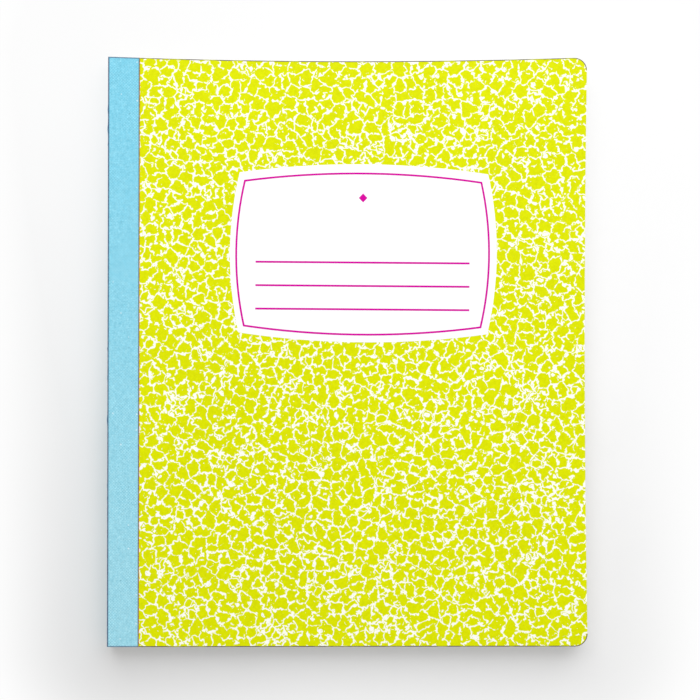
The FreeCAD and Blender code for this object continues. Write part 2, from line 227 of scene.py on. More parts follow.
# The studio: half the width of the table, its paper, and the soft light beyond the head.
TABLE_REACH = 3.0
TABLE_WHITE = (0.86, 0.86, 0.86)
WINDOW_PLACE = (0.14, 0.95, 0.92)
WINDOW_WIDTH = 2.0
WINDOW_HEIGHT = 1.5
SENSOR_WIDTH = 36.0
NEAREST_SEEN = 0.01


def swatch(title, meaning, default):
    """A colour in the sidebar."""
    return bpy.props.FloatVectorProperty(
        name=title, description=meaning, default=default, subtype="COLOR", size=3,
        min=0.0, max=1.0)


def length(title, meaning, default):
    """A length in the sidebar."""
    return bpy.props.FloatProperty(
        name=title, description=meaning, default=default, unit="LENGTH", subtype="DISTANCE",
        min=0.0, precision=5)


class NotebookCovers(bpy.types.PropertyGroup):
    """Printed boards."""

    marble: swatch("Marbling", "Ink of the marbled print", YELLOW)
    paper: swatch("Cover paper", "Unprinted paper between the marbling", COVER_PAPER)
    board: swatch("Board", "Cut edge of the boards", BOARD_BROWN)
    rim: length("Rim", "Width of the worn rim round the print", 0.34 * MM)
    skin: length("Cover paper thickness", "Printed paper on a board", 0.06 * MM)


class NotebookTape(bpy.types.PropertyGroup):
    """Binding tape round the spine."""

    colour: swatch("Tape", "Cloth of the binding tape", TAPE_BLUE)
    thickness: length("Thickness", "Tape with its glue", 0.25 * MM)
    bend: length("Bend", "Radius of the outside of the tape at the spine", 0.45 * MM)


class NotebookLeaves(bpy.types.PropertyGroup):
    """Folded leaves and the pasted leaves."""

    paper: swatch("Paper", "Uncoated writing paper", LEAF_WHITE)
    rule: swatch("Rules", "Writing lines on the leaves", RULE_BLUE)
    margin: swatch("Margin line", "Upright line near the spine", MARGIN_PINK)
    sheets: bpy.props.IntProperty(
        name="Sheets", description="Folded sheets, two leaves each", default=50, min=4, max=80)
    pitch: length("Pitch", "One writing line to the next", 8.7 * MM)
    first_line: length("First line", "Head edge to the first writing line", 24 * MM)
    margin_width: length("Margin", "Spine to the margin line", 32 * MM)


class NotebookLabel(bpy.types.PropertyGroup):
    """Printed label field."""

    field: swatch("Field", "Paper of the label field", LABEL_PAPER)
    line: swatch("Lines", "Ink of the border, the rules and the mark", MAGENTA)


class NotebookStage(bpy.types.PropertyGroup):
    """Table, lights and camera."""

    camera_place: bpy.props.FloatVectorProperty(
        name="Camera", description="Where the lens is", default=(-0.00479, -0.00609, 0.6312),
        subtype="TRANSLATION", unit="LENGTH", size=3)
    camera_turn: bpy.props.FloatVectorProperty(
        name="Camera turn", description="Turn of the camera from straight down",
        default=(math.radians(0.614), math.radians(-0.527), math.radians(0.030)),
        subtype="EULER", unit="ROTATION", size=3)
    lens: bpy.props.FloatProperty(
        name="Lens", description="Focal length on a sensor 36 mm wide", default=80.42,
        min=10.0, max=300.0)
    key: bpy.props.FloatProperty(
        name="Key light", description="Power of the large soft light beyond the head of the book",
        default=22.5, min=0.0, unit="POWER")
    sky: bpy.props.FloatProperty(
        name="Room light", description="Strength of the white room round the table",
        default=0.54, min=0.0)
    white_from: length("White from", "How far from the book the table starts to whiten", 12 * MM)
    white_at: length("White at", "How far from the book the table is white", 54 * MM)


def flat_quad(low_x, high_x):
    """A single quad that faces up, as tall as the book, between two places across it."""
    bm = bmesh.new()
    bmesh.ops.create_grid(bm, x_segments=1, y_segments=1, size=0.5)
    bmesh.ops.scale(bm, vec=(high_x - low_x, HEAD - TAIL, 1), verts=bm.verts[:])
    bmesh.ops.translate(bm, vec=((low_x + high_x) / 2, 0, 0), verts=bm.verts[:])
    return bm


def trim(bm):
    """Give the straight head and fore edges their slight dips."""
    for vert in bm.verts:
        x, y = vert.co.x, vert.co.y
        if y > CORNER_Y and x < CORNER_X + TINY:
            vert.co.y -= head_dip(x)
        if x > CORNER_X and abs(y) < CORNER_Y + TINY:
            vert.co.x -= fore_dip(y)


def trimmed_sheet(left):
    """A flat face with the outline of the trimmed book, from a line beside the spine."""
    bm = flat_quad(left, FORE)
    corners = [vert for vert in bm.verts if vert.co.x > FORE - TINY]
    bmesh.ops.bevel(bm, geom=corners, affect="VERTICES", offset=CORNER, offset_type="OFFSET",
                    segments=8, profile=0.5, material=-1)
    bowed = []
    for edge in bm.edges:
        middle = (edge.verts[0].co + edge.verts[1].co) / 2
        if edge.calc_length() > CORNER and (middle.y > CORNER_Y or middle.x > CORNER_X):
            bowed.append(edge)
    bmesh.ops.bisect_edges(bm, edges=bowed, cuts=23)
    return bm


def raise_plate(bm, low, high):
    """Turn a flat face at height nought into a closed plate between two heights."""
    bmesh.ops.translate(bm, vec=(0, 0, low), verts=bm.verts[:])
    grown = bmesh.ops.extrude_face_region(bm, geom=bm.faces[:])["geom"]
    top = [item for item in grown if isinstance(item, bmesh.types.BMVert)]
    bmesh.ops.translate(bm, vec=(0, 0, high - low), verts=top)
    bmesh.ops.recalc_face_normals(bm, faces=bm.faces[:])


def flip_over(bm, middle):
    """Mirror a piece of the front of the book to its back, about a height."""
    turn = Matrix.Translation((0, 0, middle)) @ Matrix.Scale(-1, 4, (0, 0, 1))
    turn = turn @ Matrix.Translation((0, 0, -middle))
    bmesh.ops.transform(bm, matrix=turn, verts=bm.verts[:])
    bmesh.ops.reverse_faces(bm, faces=bm.faces[:])


def finish_piece(bm, name, *materials, smooth=None):
    """Make an object of a mesh, with its materials, smooth where faces meet at a small angle."""
    mesh = bpy.data.meshes.new(name)
    bm.to_mesh(mesh)
    bm.free()
    for material in materials:
        mesh.materials.append(material)
    if smooth is not None:
        mesh.shade_smooth()
        mesh.set_sharp_from_angle(angle=smooth)
    piece = bpy.data.objects.new(name, mesh)
    bpy.context.scene.collection.objects.link(piece)
    return piece


def keep_places(piece):
    """Store where each point is at rest, so that patterns stay put on a piece that bends."""
    places = [number for vert in piece.data.vertices for number in vert.co]
    kept = piece.data.attributes.new(REST_PLACE, "FLOAT_VECTOR", "POINT")
    kept.data.foreach_set("vector", places)


def dress(name, material):
    """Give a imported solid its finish."""
    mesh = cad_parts[name].data
    mesh.materials.clear()
    mesh.materials.append(material)


class Finish:
    """One material. Its patterns are worked out in millimetres from Object coordinates, or, on
    a piece that bends, from the places that its points have at rest."""

    def __init__(self, name, bends=False, **surface):
        self.material = bpy.data.materials.new(name)
        self.material.use_nodes = True
        self.tree = self.material.node_tree
        self.tree.nodes.clear()
        self.shader = self.tree.nodes.new("ShaderNodeBsdfPrincipled")
        output = self.tree.nodes.new("ShaderNodeOutputMaterial")
        self.tree.links.new(self.shader.outputs["BSDF"], output.inputs["Surface"])
        for socket, number in surface.items():
            self.shader.inputs[socket.replace("_", " ")].default_value = number
        if bends:
            kept = self.tree.nodes.new("ShaderNodeAttribute")
            kept.attribute_name = REST_PLACE
            metres = kept.outputs["Vector"]
        else:
            metres = self.tree.nodes.new("ShaderNodeTexCoord").outputs["Object"]
        self.place = self.vector("SCALE", metres, scale=1 / MM)
        split = self.tree.nodes.new("ShaderNodeSeparateXYZ")
        self.tree.links.new(self.place, split.inputs["Vector"])
        self.across, self.up, self.height = split.outputs

    def feed(self, socket, source):
        """Link a socket to a pattern, or set it to a value."""
        if isinstance(source, bpy.types.NodeSocket):
            self.tree.links.new(source, socket)
        else:
            socket.default_value = source

    def vector(self, operation, first, second=(0.0, 0.0, 0.0), third=(0.0, 0.0, 0.0), scale=1.0):
        """A vector worked out from others."""
        node = self.tree.nodes.new("ShaderNodeVectorMath")
        node.operation = operation
        for socket, source in zip(node.inputs, (first, second, third, scale)):
            self.feed(socket, source)
        return node.outputs["Value" if operation in ("LENGTH", "DISTANCE") else "Vector"]

    def maths(self, operation, first, second=0.0, third=0.0):
        """A number worked out from others."""
        node = self.tree.nodes.new("ShaderNodeMath")
        node.operation = operation
        for socket, source in zip(node.inputs, (first, second, third)):
            self.feed(socket, source)
        return node.outputs["Value"]

    def ramp(self, source, start, end, low=0.0, high=1.0):
        """A smooth step from low to high as the source goes from start to end."""
        node = self.tree.nodes.new("ShaderNodeMapRange")
        node.interpolation_type = "SMOOTHSTEP"
        for socket, value in zip(node.inputs, (source, start, end, low, high)):
            self.feed(socket, value)
        return node.outputs["Result"]

    def moved(self, shift, stretch=(1.0, 1.0, 1.0), turn=0.0):
        """The place, stretched, turned about the height and moved for one pattern."""
        node = self.tree.nodes.new("ShaderNodeMapping")
        self.feed(node.inputs["Vector"], self.place)
        node.inputs["Location"].default_value = shift
        node.inputs["Rotation"].default_value = (0.0, 0.0, turn)
        node.inputs["Scale"].default_value = stretch
        return node.outputs["Vector"]

    def noise(self, place, size, detail=2.0, roughness=0.5, flat=False, output="Fac"):
        """Soft noise whose patches are about this size in millimetres."""
        node = self.tree.nodes.new("ShaderNodeTexNoise")
        node.noise_dimensions = "2D" if flat else "3D"
        self.feed(node.inputs["Vector"], place)
        node.inputs["Scale"].default_value = 1.0 / size
        node.inputs["Detail"].default_value = detail
        node.inputs["Roughness"].default_value = roughness
        return node.outputs[output]

    def cells(self, place, size, feature="DISTANCE_TO_EDGE"):
        """Flat irregular cells about this size in millimetres."""
        node = self.tree.nodes.new("ShaderNodeTexVoronoi")
        node.voronoi_dimensions = "2D"
        node.feature = feature
        self.feed(node.inputs["Vector"], place)
        node.inputs["Scale"].default_value = 1.0 / size
        return node.outputs

    def luck(self, cell_colour, channel=0):
        """An even chance from nought to one, the same all over a cell."""
        node = self.tree.nodes.new("ShaderNodeSeparateColor")
        self.feed(node.inputs[0], cell_colour)
        return node.outputs[channel]

    def mix(self, share, first, second, blend="MIX"):
        """Two colours mixed, the share being the second's."""
        node = self.tree.nodes.new("ShaderNodeMix")
        node.data_type = "RGBA"
        node.blend_type = blend
        self.feed(node.inputs["Factor"], share)
        for name, source in (("A", first), ("B", second)):
            socket = [item for item in node.inputs if item.name == name and item.type == "RGBA"][0]
            if not isinstance(source, bpy.types.NodeSocket):
                source = (*source[:3], 1.0)
            self.feed(socket, source)
        return [item for item in node.outputs if item.type == "RGBA"][0]

    def tone(self, colour, share, low, high):
        """The colour made darker or lighter by a pattern, from low to high."""
        level = self.maths("MULTIPLY_ADD", share, high - low, low)
        grey = self.tree.nodes.new("ShaderNodeCombineXYZ")
        for socket in grey.inputs:
            self.feed(socket, level)
        return self.mix(1.0, colour, grey.outputs["Vector"], "MULTIPLY")

    def colour(self, source):
        """Set the colour of the surface."""
        self.feed(self.shader.inputs["Base Color"], source)

    def roughness(self, pattern, low, high):
        """Let the roughness follow a pattern, from low to high."""
        level = self.maths("MULTIPLY_ADD", pattern, high - low, low)
        self.feed(self.shader.inputs["Roughness"], level)

    def bump(self, pattern, depth, strength=1.0):
        """Relief of a pattern, its full depth in millimetres."""
        node = self.tree.nodes.new("ShaderNodeBump")
        node.inputs["Strength"].default_value = strength
        node.inputs["Distance"].default_value = depth * MM
        self.feed(node.inputs["Height"], pattern)
        self.feed(self.shader.inputs["Normal"], node.outputs["Normal"])

    def from_head(self):
        """Distance in millimetres from the bowed head edge, inwards."""
        reach = self.maths("SUBTRACT", self.across, BOW_MIDDLE / MM)
        sag = self.maths("DIVIDE", self.maths("MULTIPLY", reach, reach), 2 * HEAD_RADIUS / MM)
        edge = self.maths("ADD", sag, (HEAD - HEAD_BOW) / MM)
        return self.maths("SUBTRACT", edge, self.up)


def marbled_print(name, covers, shift):
    """Marbled cover paper: inked islands parted by a broken, knobbly web of bare paper."""
    finish = Finish(name, Roughness=0.42, Specular_IOR_Level=0.05)
    start = finish.moved((*shift, 0.0), turn=SLANT)
    wander = finish.noise(start, WANDER_SIZE, detail=WANDER_DETAIL, roughness=WANDER_ROUGHNESS,
                          flat=True, output="Color")
    wander = finish.vector("SUBTRACT", wander, (0.5, 0.5, 0.5))
    place = finish.vector("MULTIPLY_ADD", wander, (WANDER_REACH, WANDER_REACH, 0.0), start)
    knots = finish.noise(place, KNOT_SIZE, detail=1.0, flat=True)
    bare = None
    chosen = None
    for cell, vein, patch, begin, full, luck, away in VEIN_WEBS:
        spot = finish.vector("ADD", place, (away, -away, 0.0))
        gap = finish.maths("MULTIPLY", finish.cells(spot, cell)["Distance"], cell)
        shows = finish.ramp(finish.noise(spot, patch, detail=1.0, flat=True), begin, full)
        if chosen is not None:
            shows = finish.maths("MAXIMUM", shows, finish.maths("GREATER_THAN", chosen, luck))
        chosen = finish.luck(finish.cells(spot, cell, "F1")["Color"])
        swell = finish.ramp(knots, 0.32, 0.70, KNOT_THIN * vein, KNOT_THICK * vein)
        reach = finish.maths("MULTIPLY_ADD", finish.maths("ADD", swell, HIDDEN), shows, -HIDDEN)
        inside = finish.maths("SUBTRACT", reach, gap)
        bare = inside if bare is None else finish.maths("MAXIMUM", bare, inside)
    specks = finish.cells(finish.vector("ADD", place, (7.0, 5.0, 0.0)), SPECK_CELL, "F1")
    size = finish.ramp(finish.luck(specks["Color"]), SPECK_CHANCE, 1.0, -HIDDEN, SPECK_WIDTH)
    reach = finish.maths("MULTIPLY", specks["Distance"], SPECK_CELL)
    reach = finish.maths("ABSOLUTE", finish.maths("MULTIPLY_ADD", size, -RING, reach))
    dot = finish.maths("SUBTRACT", size, reach)
    bare = finish.maths("MAXIMUM", bare, dot)
    grain = finish.noise(start, GRAIN_SIZE, detail=2.0, roughness=0.6, flat=True)
    grain = finish.maths("SUBTRACT", grain, 0.5)
    bare = finish.maths("MULTIPLY_ADD", grain, GRAIN_DEPTH, bare)
    inked = finish.ramp(bare, -INK_FADE, INK_FADE, 1.0, 0.0)
    mottle = finish.noise(finish.place, 1.1, detail=3.0, roughness=0.7)
    drift = finish.noise(finish.place, 38.0, detail=1.0)
    yellow = finish.tone(finish.tone(covers.marble, mottle, 0.80, 1.16), drift, 0.96, 1.03)
    paper = finish.tone(covers.paper, mottle, 0.96, 1.03)
    colour = finish.mix(inked, paper, yellow)
    # Painted shadow of the tape's step: the print turns darker and orange just beyond the tape's
    # cut edge.
    from_tape = finish.maths("SUBTRACT", finish.across, TAPE_END / MM)
    glue = finish.ramp(from_tape, 0.12, 0.50, 0.8, 0.0)
    glue = finish.maths("MULTIPLY", glue, finish.ramp(mottle, 0.35, 0.60, 0.3, 1.0))
    finish.colour(finish.mix(glue, colour, TAPE_STEP_SHADOW))
    finish.roughness(finish.noise(finish.place, 1.4, detail=3.0), 0.36, 0.52)
    finish.bump(finish.maths("MULTIPLY_ADD", inked, 0.4, mottle), 0.006)
    return finish.material


def board_edge(covers):
    """Grey-brown pressed board: short fibres in layers, with patches of grime."""
    finish = Finish("pressed_board", Roughness=0.85, Specular_IOR_Level=0.25)
    fibres = finish.noise(finish.moved((0, 0, 0), (1.0, 1.0, 7.0)), 0.9, detail=4.0, roughness=0.7)
    grime = finish.noise(finish.place, 6.0, detail=2.0)
    finish.colour(finish.tone(finish.tone(covers.board, fibres, 0.62, 1.38), grime, 0.85, 1.12))
    finish.roughness(fibres, 0.75, 0.95)
    finish.bump(fibres, 0.05)
    return finish.material


def worn_rim(covers):
    """The rim of a board, where the print has rubbed off in places and the board shows."""
    finish = Finish("worn_rim", Roughness=0.7, Specular_IOR_Level=0.3)
    rub = finish.noise(finish.place, 9.0, detail=3.0, roughness=0.6)
    share = finish.ramp(rub, 0.38, 0.52, 0.25, 1.0)
    fibres = finish.noise(finish.place, 0.4, detail=3.0, roughness=0.7)
    dark = finish.tone(covers.board, fibres, 0.5, 1.1)
    finish.colour(finish.mix(share, finish.tone(covers.marble, fibres, 0.5, 0.8), dark))
    finish.roughness(fibres, 0.6, 0.85)
    finish.bump(fibres, 0.02)
    return finish.material


def tape_cloth(tape):
    """Glued book cloth: a very fine weave under paint, with painted shade along its folds and ends.
    """
    finish = Finish("binding_cloth", bends=True, Roughness=0.62, Specular_IOR_Level=0.2)
    warp = finish.noise(finish.moved((0, 0, 0), (2.6, 0.6, 2.6)), 0.9, detail=2.0, roughness=0.6)
    weft = finish.noise(finish.moved((5, 9, 2), (0.6, 2.6, 0.6)), 0.9, detail=2.0, roughness=0.6)
    weave = finish.maths("MULTIPLY", finish.maths("ADD", warp, weft), 0.5)
    blotch = finish.noise(finish.place, 1.0, detail=4.0, roughness=0.8)
    unrolled = finish.maths("SUBTRACT", finish.across, finish.height)
    crossing = finish.maths("SINE", finish.maths("MULTIPLY", unrolled, 2 * math.pi / TWILL))
    along = finish.maths("SINE", finish.maths("MULTIPLY", finish.up, 2 * math.pi / TWILL))
    twill = finish.maths("MULTIPLY", crossing, along)
    shown = finish.ramp(finish.noise(finish.place, 14.0, detail=1.0), 0.35, 0.65, 0.2, 1.0)
    twill = finish.maths("MULTIPLY", twill, shown)
    worn = finish.ramp(finish.up, TAIL / MM, HEAD / MM, 0.0, -0.50)
    worn = finish.maths("MULTIPLY_ADD", weave, 1.2, worn)
    worn = finish.maths("MULTIPLY_ADD", twill, 0.22, worn)
    cloth = finish.tone(finish.mix(worn, tape.colour, WORN_BLUE), weave, 0.72, 1.24)
    cloth = finish.tone(finish.tone(cloth, blotch, 0.74, 1.22), twill, 1.0, 1.09)
    flecks = finish.cells(finish.vector("ADD", finish.place, (3.0, 8.0, 0.0)), FLECK_CELL, "F1")
    size = finish.ramp(finish.luck(flecks["Color"]), 0.86, 1.0, 0.0, 0.11)
    dot = finish.ramp(finish.maths("SUBTRACT", size, flecks["Distance"]), -0.02, 0.02)
    pale = finish.maths("GREATER_THAN", finish.luck(flecks["Color"], 1), 0.35)
    fleck = finish.mix(pale, tuple(0.55 * level for level in tape.colour), PALE_FLECK)
    cloth = finish.mix(finish.maths("MULTIPLY", dot, 0.45), cloth, fleck)
    # Painted shade: darker along the spine's folded corners and the head and tail ends, where the
    # tape turns from the light.
    from_spine = finish.maths("SUBTRACT", finish.across, SPINE / MM)
    half = TOP / 2 / MM
    from_middle = finish.maths("ABSOLUTE", finish.maths("SUBTRACT", finish.height, half))
    from_face = finish.maths("SUBTRACT", half, from_middle)
    corner = finish.maths("ADD", from_spine, from_face)
    fold_shade = finish.ramp(corner, 0.30, 0.80, 1.0, 0.0)
    from_tail = finish.maths("SUBTRACT", finish.up, TAIL / MM)
    ends = finish.maths("MINIMUM", finish.from_head(), from_tail)
    fold_shade = finish.maths("MAXIMUM", fold_shade, finish.ramp(ends, 0.20, 0.60, 0.9, 0.0))
    fold_shade = finish.maths("MULTIPLY", fold_shade, finish.ramp(blotch, 0.30, 0.60, 0.70, 1.0))
    cloth = finish.mix(fold_shade, cloth, FOLD_SHADE)
    # A dark band on the tape along its cut edge, patchy where the blotches are.
    to_edge = finish.maths("SUBTRACT", TAPE_END / MM, finish.across)
    cut = finish.ramp(to_edge, 0.12, 0.50, 0.95, 0.0)
    cut = finish.maths("MULTIPLY", cut, finish.ramp(blotch, 0.30, 0.60, 0.55, 1.0))
    finish.colour(finish.mix(cut, cloth, CUT_EDGE_DARK))
    finish.roughness(blotch, 0.5, 0.75)
    finish.bump(finish.maths("ADD", weave, blotch), 0.035, 0.7)
    return finish.material


def sheet_tone(finish, leaves):
    """The felt marks of uncoated paper and its faintly cloudy colour."""
    cloud = finish.noise(finish.place, 7.0, detail=3.0)
    felt = finish.noise(finish.moved((0, 0, 0), (1.0, 0.35, 1.0)), 0.35, detail=3.0, roughness=0.6)
    colour = finish.tone(leaves.paper, cloud, 0.965, 1.02)
    return felt, finish.tone(colour, felt, 0.96, 1.03)


def writing_paper(name, leaves, bends=False, leaf_tones=False):
    """Uncoated paper: felt marks, short fibres and, in a stack, a tone of its own for each leaf."""
    finish = Finish(name, bends=bends, Roughness=0.88, Specular_IOR_Level=0.2)
    felt, paper = sheet_tone(finish, leaves)
    if leaf_tones:
        leaf = finish.noise(finish.moved((0, 0, 0), (0.0, 0.0, 1.0)), 0.17, detail=1.0)
        paper = finish.tone(paper, finish.ramp(leaf, 0.30, 0.70), 0.86, 1.03)
    finish.colour(paper)
    finish.roughness(felt, 0.8, 0.95)
    finish.bump(felt, 0.015)
    return finish.material


def ruled_paper(leaves):
    """The outer face of the first and the last leaf, with writing lines and a margin line."""
    finish = Finish("ruled_paper", Roughness=0.88, Specular_IOR_Level=0.2)
    felt, paper = sheet_tone(finish, leaves)
    down = finish.maths("SUBTRACT", (HEAD - leaves.first_line) / MM, finish.up)
    row = finish.maths("DIVIDE", down, leaves.pitch / MM)
    off = finish.maths("MULTIPLY", finish.maths("SUBTRACT", row, finish.maths("ROUND", row)),
                       leaves.pitch / MM)
    line = finish.ramp(finish.maths("ABSOLUTE", off), 0.10, 0.18, 1.0, 0.0)
    line = finish.maths("MULTIPLY", line, finish.maths("GREATER_THAN", down, -1.0))
    line = finish.maths("MULTIPLY", line, finish.ramp(felt, 0.25, 0.55, 0.7, 1.0))
    side = finish.maths("SUBTRACT", finish.across, (SPINE + leaves.margin_width) / MM)
    upright = finish.ramp(finish.maths("ABSOLUTE", side), 0.12, 0.20, 0.9, 0.0)
    finish.colour(finish.mix(upright, finish.mix(line, paper, leaves.rule), leaves.margin))
    finish.roughness(felt, 0.8, 0.95)
    finish.bump(felt, 0.015)
    return finish.material


def printed_film(name, colour, spread):
    """Print on cover paper: an even field with the paper's faint mottle under it."""
    finish = Finish(name, Roughness=0.42, Specular_IOR_Level=0.06)
    mottle = finish.noise(finish.place, 0.45, detail=3.0, roughness=0.7)
    drift = finish.noise(finish.place, 20.0, detail=1.0)
    toned = finish.tone(finish.tone(colour, mottle, 1 - spread, 1 + spread), drift, 0.985, 1.015)
    finish.colour(toned)
    finish.roughness(finish.noise(finish.place, 1.4, detail=3.0), 0.38, 0.52)
    finish.bump(mottle, 0.006)
    return finish.material


def sewing_cotton():
    """White cotton: two plies laid round each other, with a soft nap."""
    finish = Finish("sewing_cotton", Roughness=0.8, Sheen_Weight=0.3)
    wave = finish.tree.nodes.new("ShaderNodeTexWave")
    finish.feed(wave.inputs["Vector"], finish.moved((0, 0, 0), (1.0, 0.6, 1.0)))
    wave.wave_type = "BANDS"
    wave.bands_direction = "DIAGONAL"
    wave.inputs["Scale"].default_value = 0.9
    wave.inputs["Distortion"].default_value = 1.2
    nap = finish.noise(finish.place, 0.12, detail=2.0)
    plies = finish.tone(THREAD_WHITE, wave.outputs["Fac"], 0.72, 1.04)
    finish.colour(finish.tone(plies, nap, 0.9, 1.05))
    finish.roughness(nap, 0.7, 0.95)
    finish.bump(wave.outputs["Fac"], 0.06)
    return finish.material


def make_core(covers, front):
    """The board under its cover paper, pressed in where the tape lies."""
    bm = trimmed_sheet(BOARD_START)
    face = FRONT_FACE - covers.skin
    raise_plate(bm, FRONT_INSIDE, face)
    trim(bm)
    step = TAPE_END + STEP_GAP
    for place in (step, step - STEP_GAP / 2):
        everything = bm.verts[:] + bm.edges[:] + bm.faces[:]
        bmesh.ops.bisect_plane(bm, geom=everything, dist=TINY / 10, plane_co=(place, 0, 0),
                               plane_no=(1, 0, 0))
    pressed = [vert for vert in bm.verts
               if vert.co.x < step - STEP_GAP / 4 and vert.co.z > face - TINY]
    bmesh.ops.translate(bm, vec=(0, 0, PRESSED_FACE - face), verts=pressed)
    if not front:
        flip_over(bm, TOP / 2)
    return bm


def make_skin(covers, front):
    """The printed cover paper of a board, its rim rubbed down to the board."""
    bm = trimmed_sheet(TAPE_END + STEP_GAP)
    middle = next(iter(bm.faces))
    bmesh.ops.inset_region(bm, faces=[middle], thickness=covers.rim, use_boundary=True,
                           use_even_offset=True)
    outer = [vert for vert in bm.verts if vert.is_boundary]
    bmesh.ops.translate(bm, vec=(0, 0, FRONT_FACE), verts=bm.verts[:])
    bmesh.ops.translate(bm, vec=(0, 0, -covers.skin), verts=outer)
    trim(bm)
    for face in bm.faces:
        if face != middle and abs(face.calc_center_median().y) > CORNER_Y:
            face.material_index = 1
    if not front:
        flip_over(bm, TOP / 2)
    return bm


def run_on(bm, edges, steps, way):
    """Grow a strip from a row of edges by some steps, each as long as the way."""
    for _ in range(steps):
        grown = bmesh.ops.extrude_edge_only(bm, edges=edges)["geom"]
        row = [item for item in grown if isinstance(item, bmesh.types.BMVert)]
        bmesh.ops.translate(bm, vec=way, verts=row)
        edges = [edge for edge in grown if isinstance(edge, bmesh.types.BMEdge)
                 and edge.verts[0] in row and edge.verts[1] in row]
    return edges


def round_off(bm, edges, centre, degrees, steps):
    """Grow a strip from a row of edges round a line along the book."""
    verts = list(dict.fromkeys(vert for edge in edges for vert in edge.verts))
    grown = bmesh.ops.spin(bm, geom=edges + verts, cent=(centre[0], 0, centre[1]), axis=(0, 1, 0),
                           angle=math.radians(degrees), steps=steps, use_duplicate=False,
                           use_merge=False)["geom_last"]
    return [item for item in grown if isinstance(item, bmesh.types.BMEdge)]


def start_row(bm, x, z, cuts):
    """A row of edges along the book, from tail to head."""
    ends = [bm.verts.new((x, TAIL, z)), bm.verts.new((x, HEAD, z))]
    edge = bm.edges.new(ends)
    bmesh.ops.subdivide_edges(bm, edges=[edge], cuts=cuts)
    return bm.edges[:]


def thicken(bm, thickness):
    """Give a strip its thickness, under the face that looks outwards."""
    bmesh.ops.remove_doubles(bm, verts=bm.verts[:], dist=TINY)
    bmesh.ops.recalc_face_normals(bm, faces=bm.faces[:])
    highest = max(bm.faces, key=lambda face: face.calc_center_median().z)
    if highest.normal.z < 0:
        bmesh.ops.reverse_faces(bm, faces=bm.faces[:])
    bmesh.ops.solidify(bm, geom=bm.faces[:], thickness=thickness)


def raise_lumps(bm, tape, front):
    """Swell the tape outwards over the lumps along the spine."""
    for vert in bm.verts:
        depth = (TOP - vert.co.z) / MM
        if vert.co.x > SPINE + tape.thickness + TINY or depth < LUMP_START:
            continue
        rise = min(1.0, (depth - LUMP_START) / LUMP_RISE)
        fade = rise * max(0.0, 1 - (depth / LUMP_END) ** 2)
        for place, reach, swell in SPINE_LUMPS:
            up = place if front else LUMP_SHIFT - place
            away = (vert.co.y / MM - up) / reach
            vert.co.x -= swell * MM * fade * math.exp(-away * away)


def make_tape(tape, front):
    """Half of the tape: from its cut edge over the bend to the middle of the spine."""
    bm = bmesh.new()
    row = start_row(bm, TAPE_END, TOP, 233)
    bend_x = SPINE + tape.bend
    row = run_on(bm, row, 1, (bend_x + FLAP_RUN - TAPE_END, 0, 0))
    row = run_on(bm, row, 6, (-FLAP_RUN / 6, 0, 0))
    row = round_off(bm, row, (bend_x, TOP - tape.bend), -90, 8)
    row = run_on(bm, row, 6, (0, 0, -WALL_RUN / 6))
    drop = TOP / 2 - tape.bend - WALL_RUN
    run_on(bm, row, 7, (0, 0, -drop / 7))
    trim(bm)
    thicken(bm, tape.thickness)
    raise_lumps(bm, tape, front)
    if not front:
        flip_over(bm, TOP / 2)
    return bm


def make_joint_paper(front):
    """The endpaper where it leaves the board and goes down into the hinge beside the fold."""
    bm = bmesh.new()
    face = PASTED_FRONT - HAIR
    bend_x = FOLD + FOLD_GAP + JOINT_BEND
    row = start_row(bm, JOINT_START, face, 58)
    row = run_on(bm, row, 5, ((bend_x - JOINT_START) / 5, 0, 0))
    row = round_off(bm, row, (bend_x, face - JOINT_BEND), -90, 10)
    run_on(bm, row, 8, (0, 0, -JOINT_DROP / 8))
    trim(bm)
    thicken(bm, JOINT_PAPER)
    if not front:
        flip_over(bm, TOP / 2)
    return bm


def make_folded_sheet(leaves, number, slip):
    """One sheet folded round the sheets inside it. The outermost is number nought."""
    half = (LEAVES_HIGH - LEAVES_LOW) / 2
    leaf = half / leaves.sheets
    reach = half - leaf * number
    bend = FOLD_ROUNDNESS * reach
    start = FOLD + leaf * number + bend
    bm = trimmed_sheet(start)
    bmesh.ops.translate(bm, vec=(0, 0, reach), verts=bm.verts[:])
    row = [edge for edge in bm.edges
           if edge.verts[0].co.x < start + TINY and edge.verts[1].co.x < start + TINY]
    row = round_off(bm, row, (start, reach - bend), -90, 6)
    run_on(bm, row, 1, (0, 0, bend - reach))
    trim(bm)
    bmesh.ops.mirror(bm, geom=bm.verts[:] + bm.edges[:] + bm.faces[:], matrix=Matrix.Identity(4),
                     merge_dist=TINY, axis="Z")
    thicken(bm, leaf * SHEET_FILL)
    for vert in bm.verts:
        vert.co.z += MIDDLE
        if vert.co.x > 0:
            vert.co.x -= slip[0]
        vert.co.y -= math.copysign(slip[1], vert.co.y)
    return bm


def make_leaf_stack(leaves):
    """All folded sheets, cut almost flush."""
    chance = random.Random(7)
    stack = bmesh.new()
    for number in range(leaves.sheets):
        slip = (chance.uniform(0, 0.05) * MM, chance.uniform(0, 0.04) * MM) if number else (0, 0)
        sheet = make_folded_sheet(leaves, number, slip)
        one = bpy.data.meshes.new("one_sheet")
        sheet.to_mesh(one)
        sheet.free()
        stack.from_mesh(one)
        bpy.data.meshes.remove(one)
    return stack


def make_page(front):
    """The ruled face of the first leaf, a hair over the leaf that carries it."""
    bm = trimmed_sheet(PAGE_START)
    bmesh.ops.translate(bm, vec=(0, 0, LEAVES_HIGH + HAIR), verts=bm.verts[:])
    trim(bm)
    if not front:
        flip_over(bm, MIDDLE)
    return bm


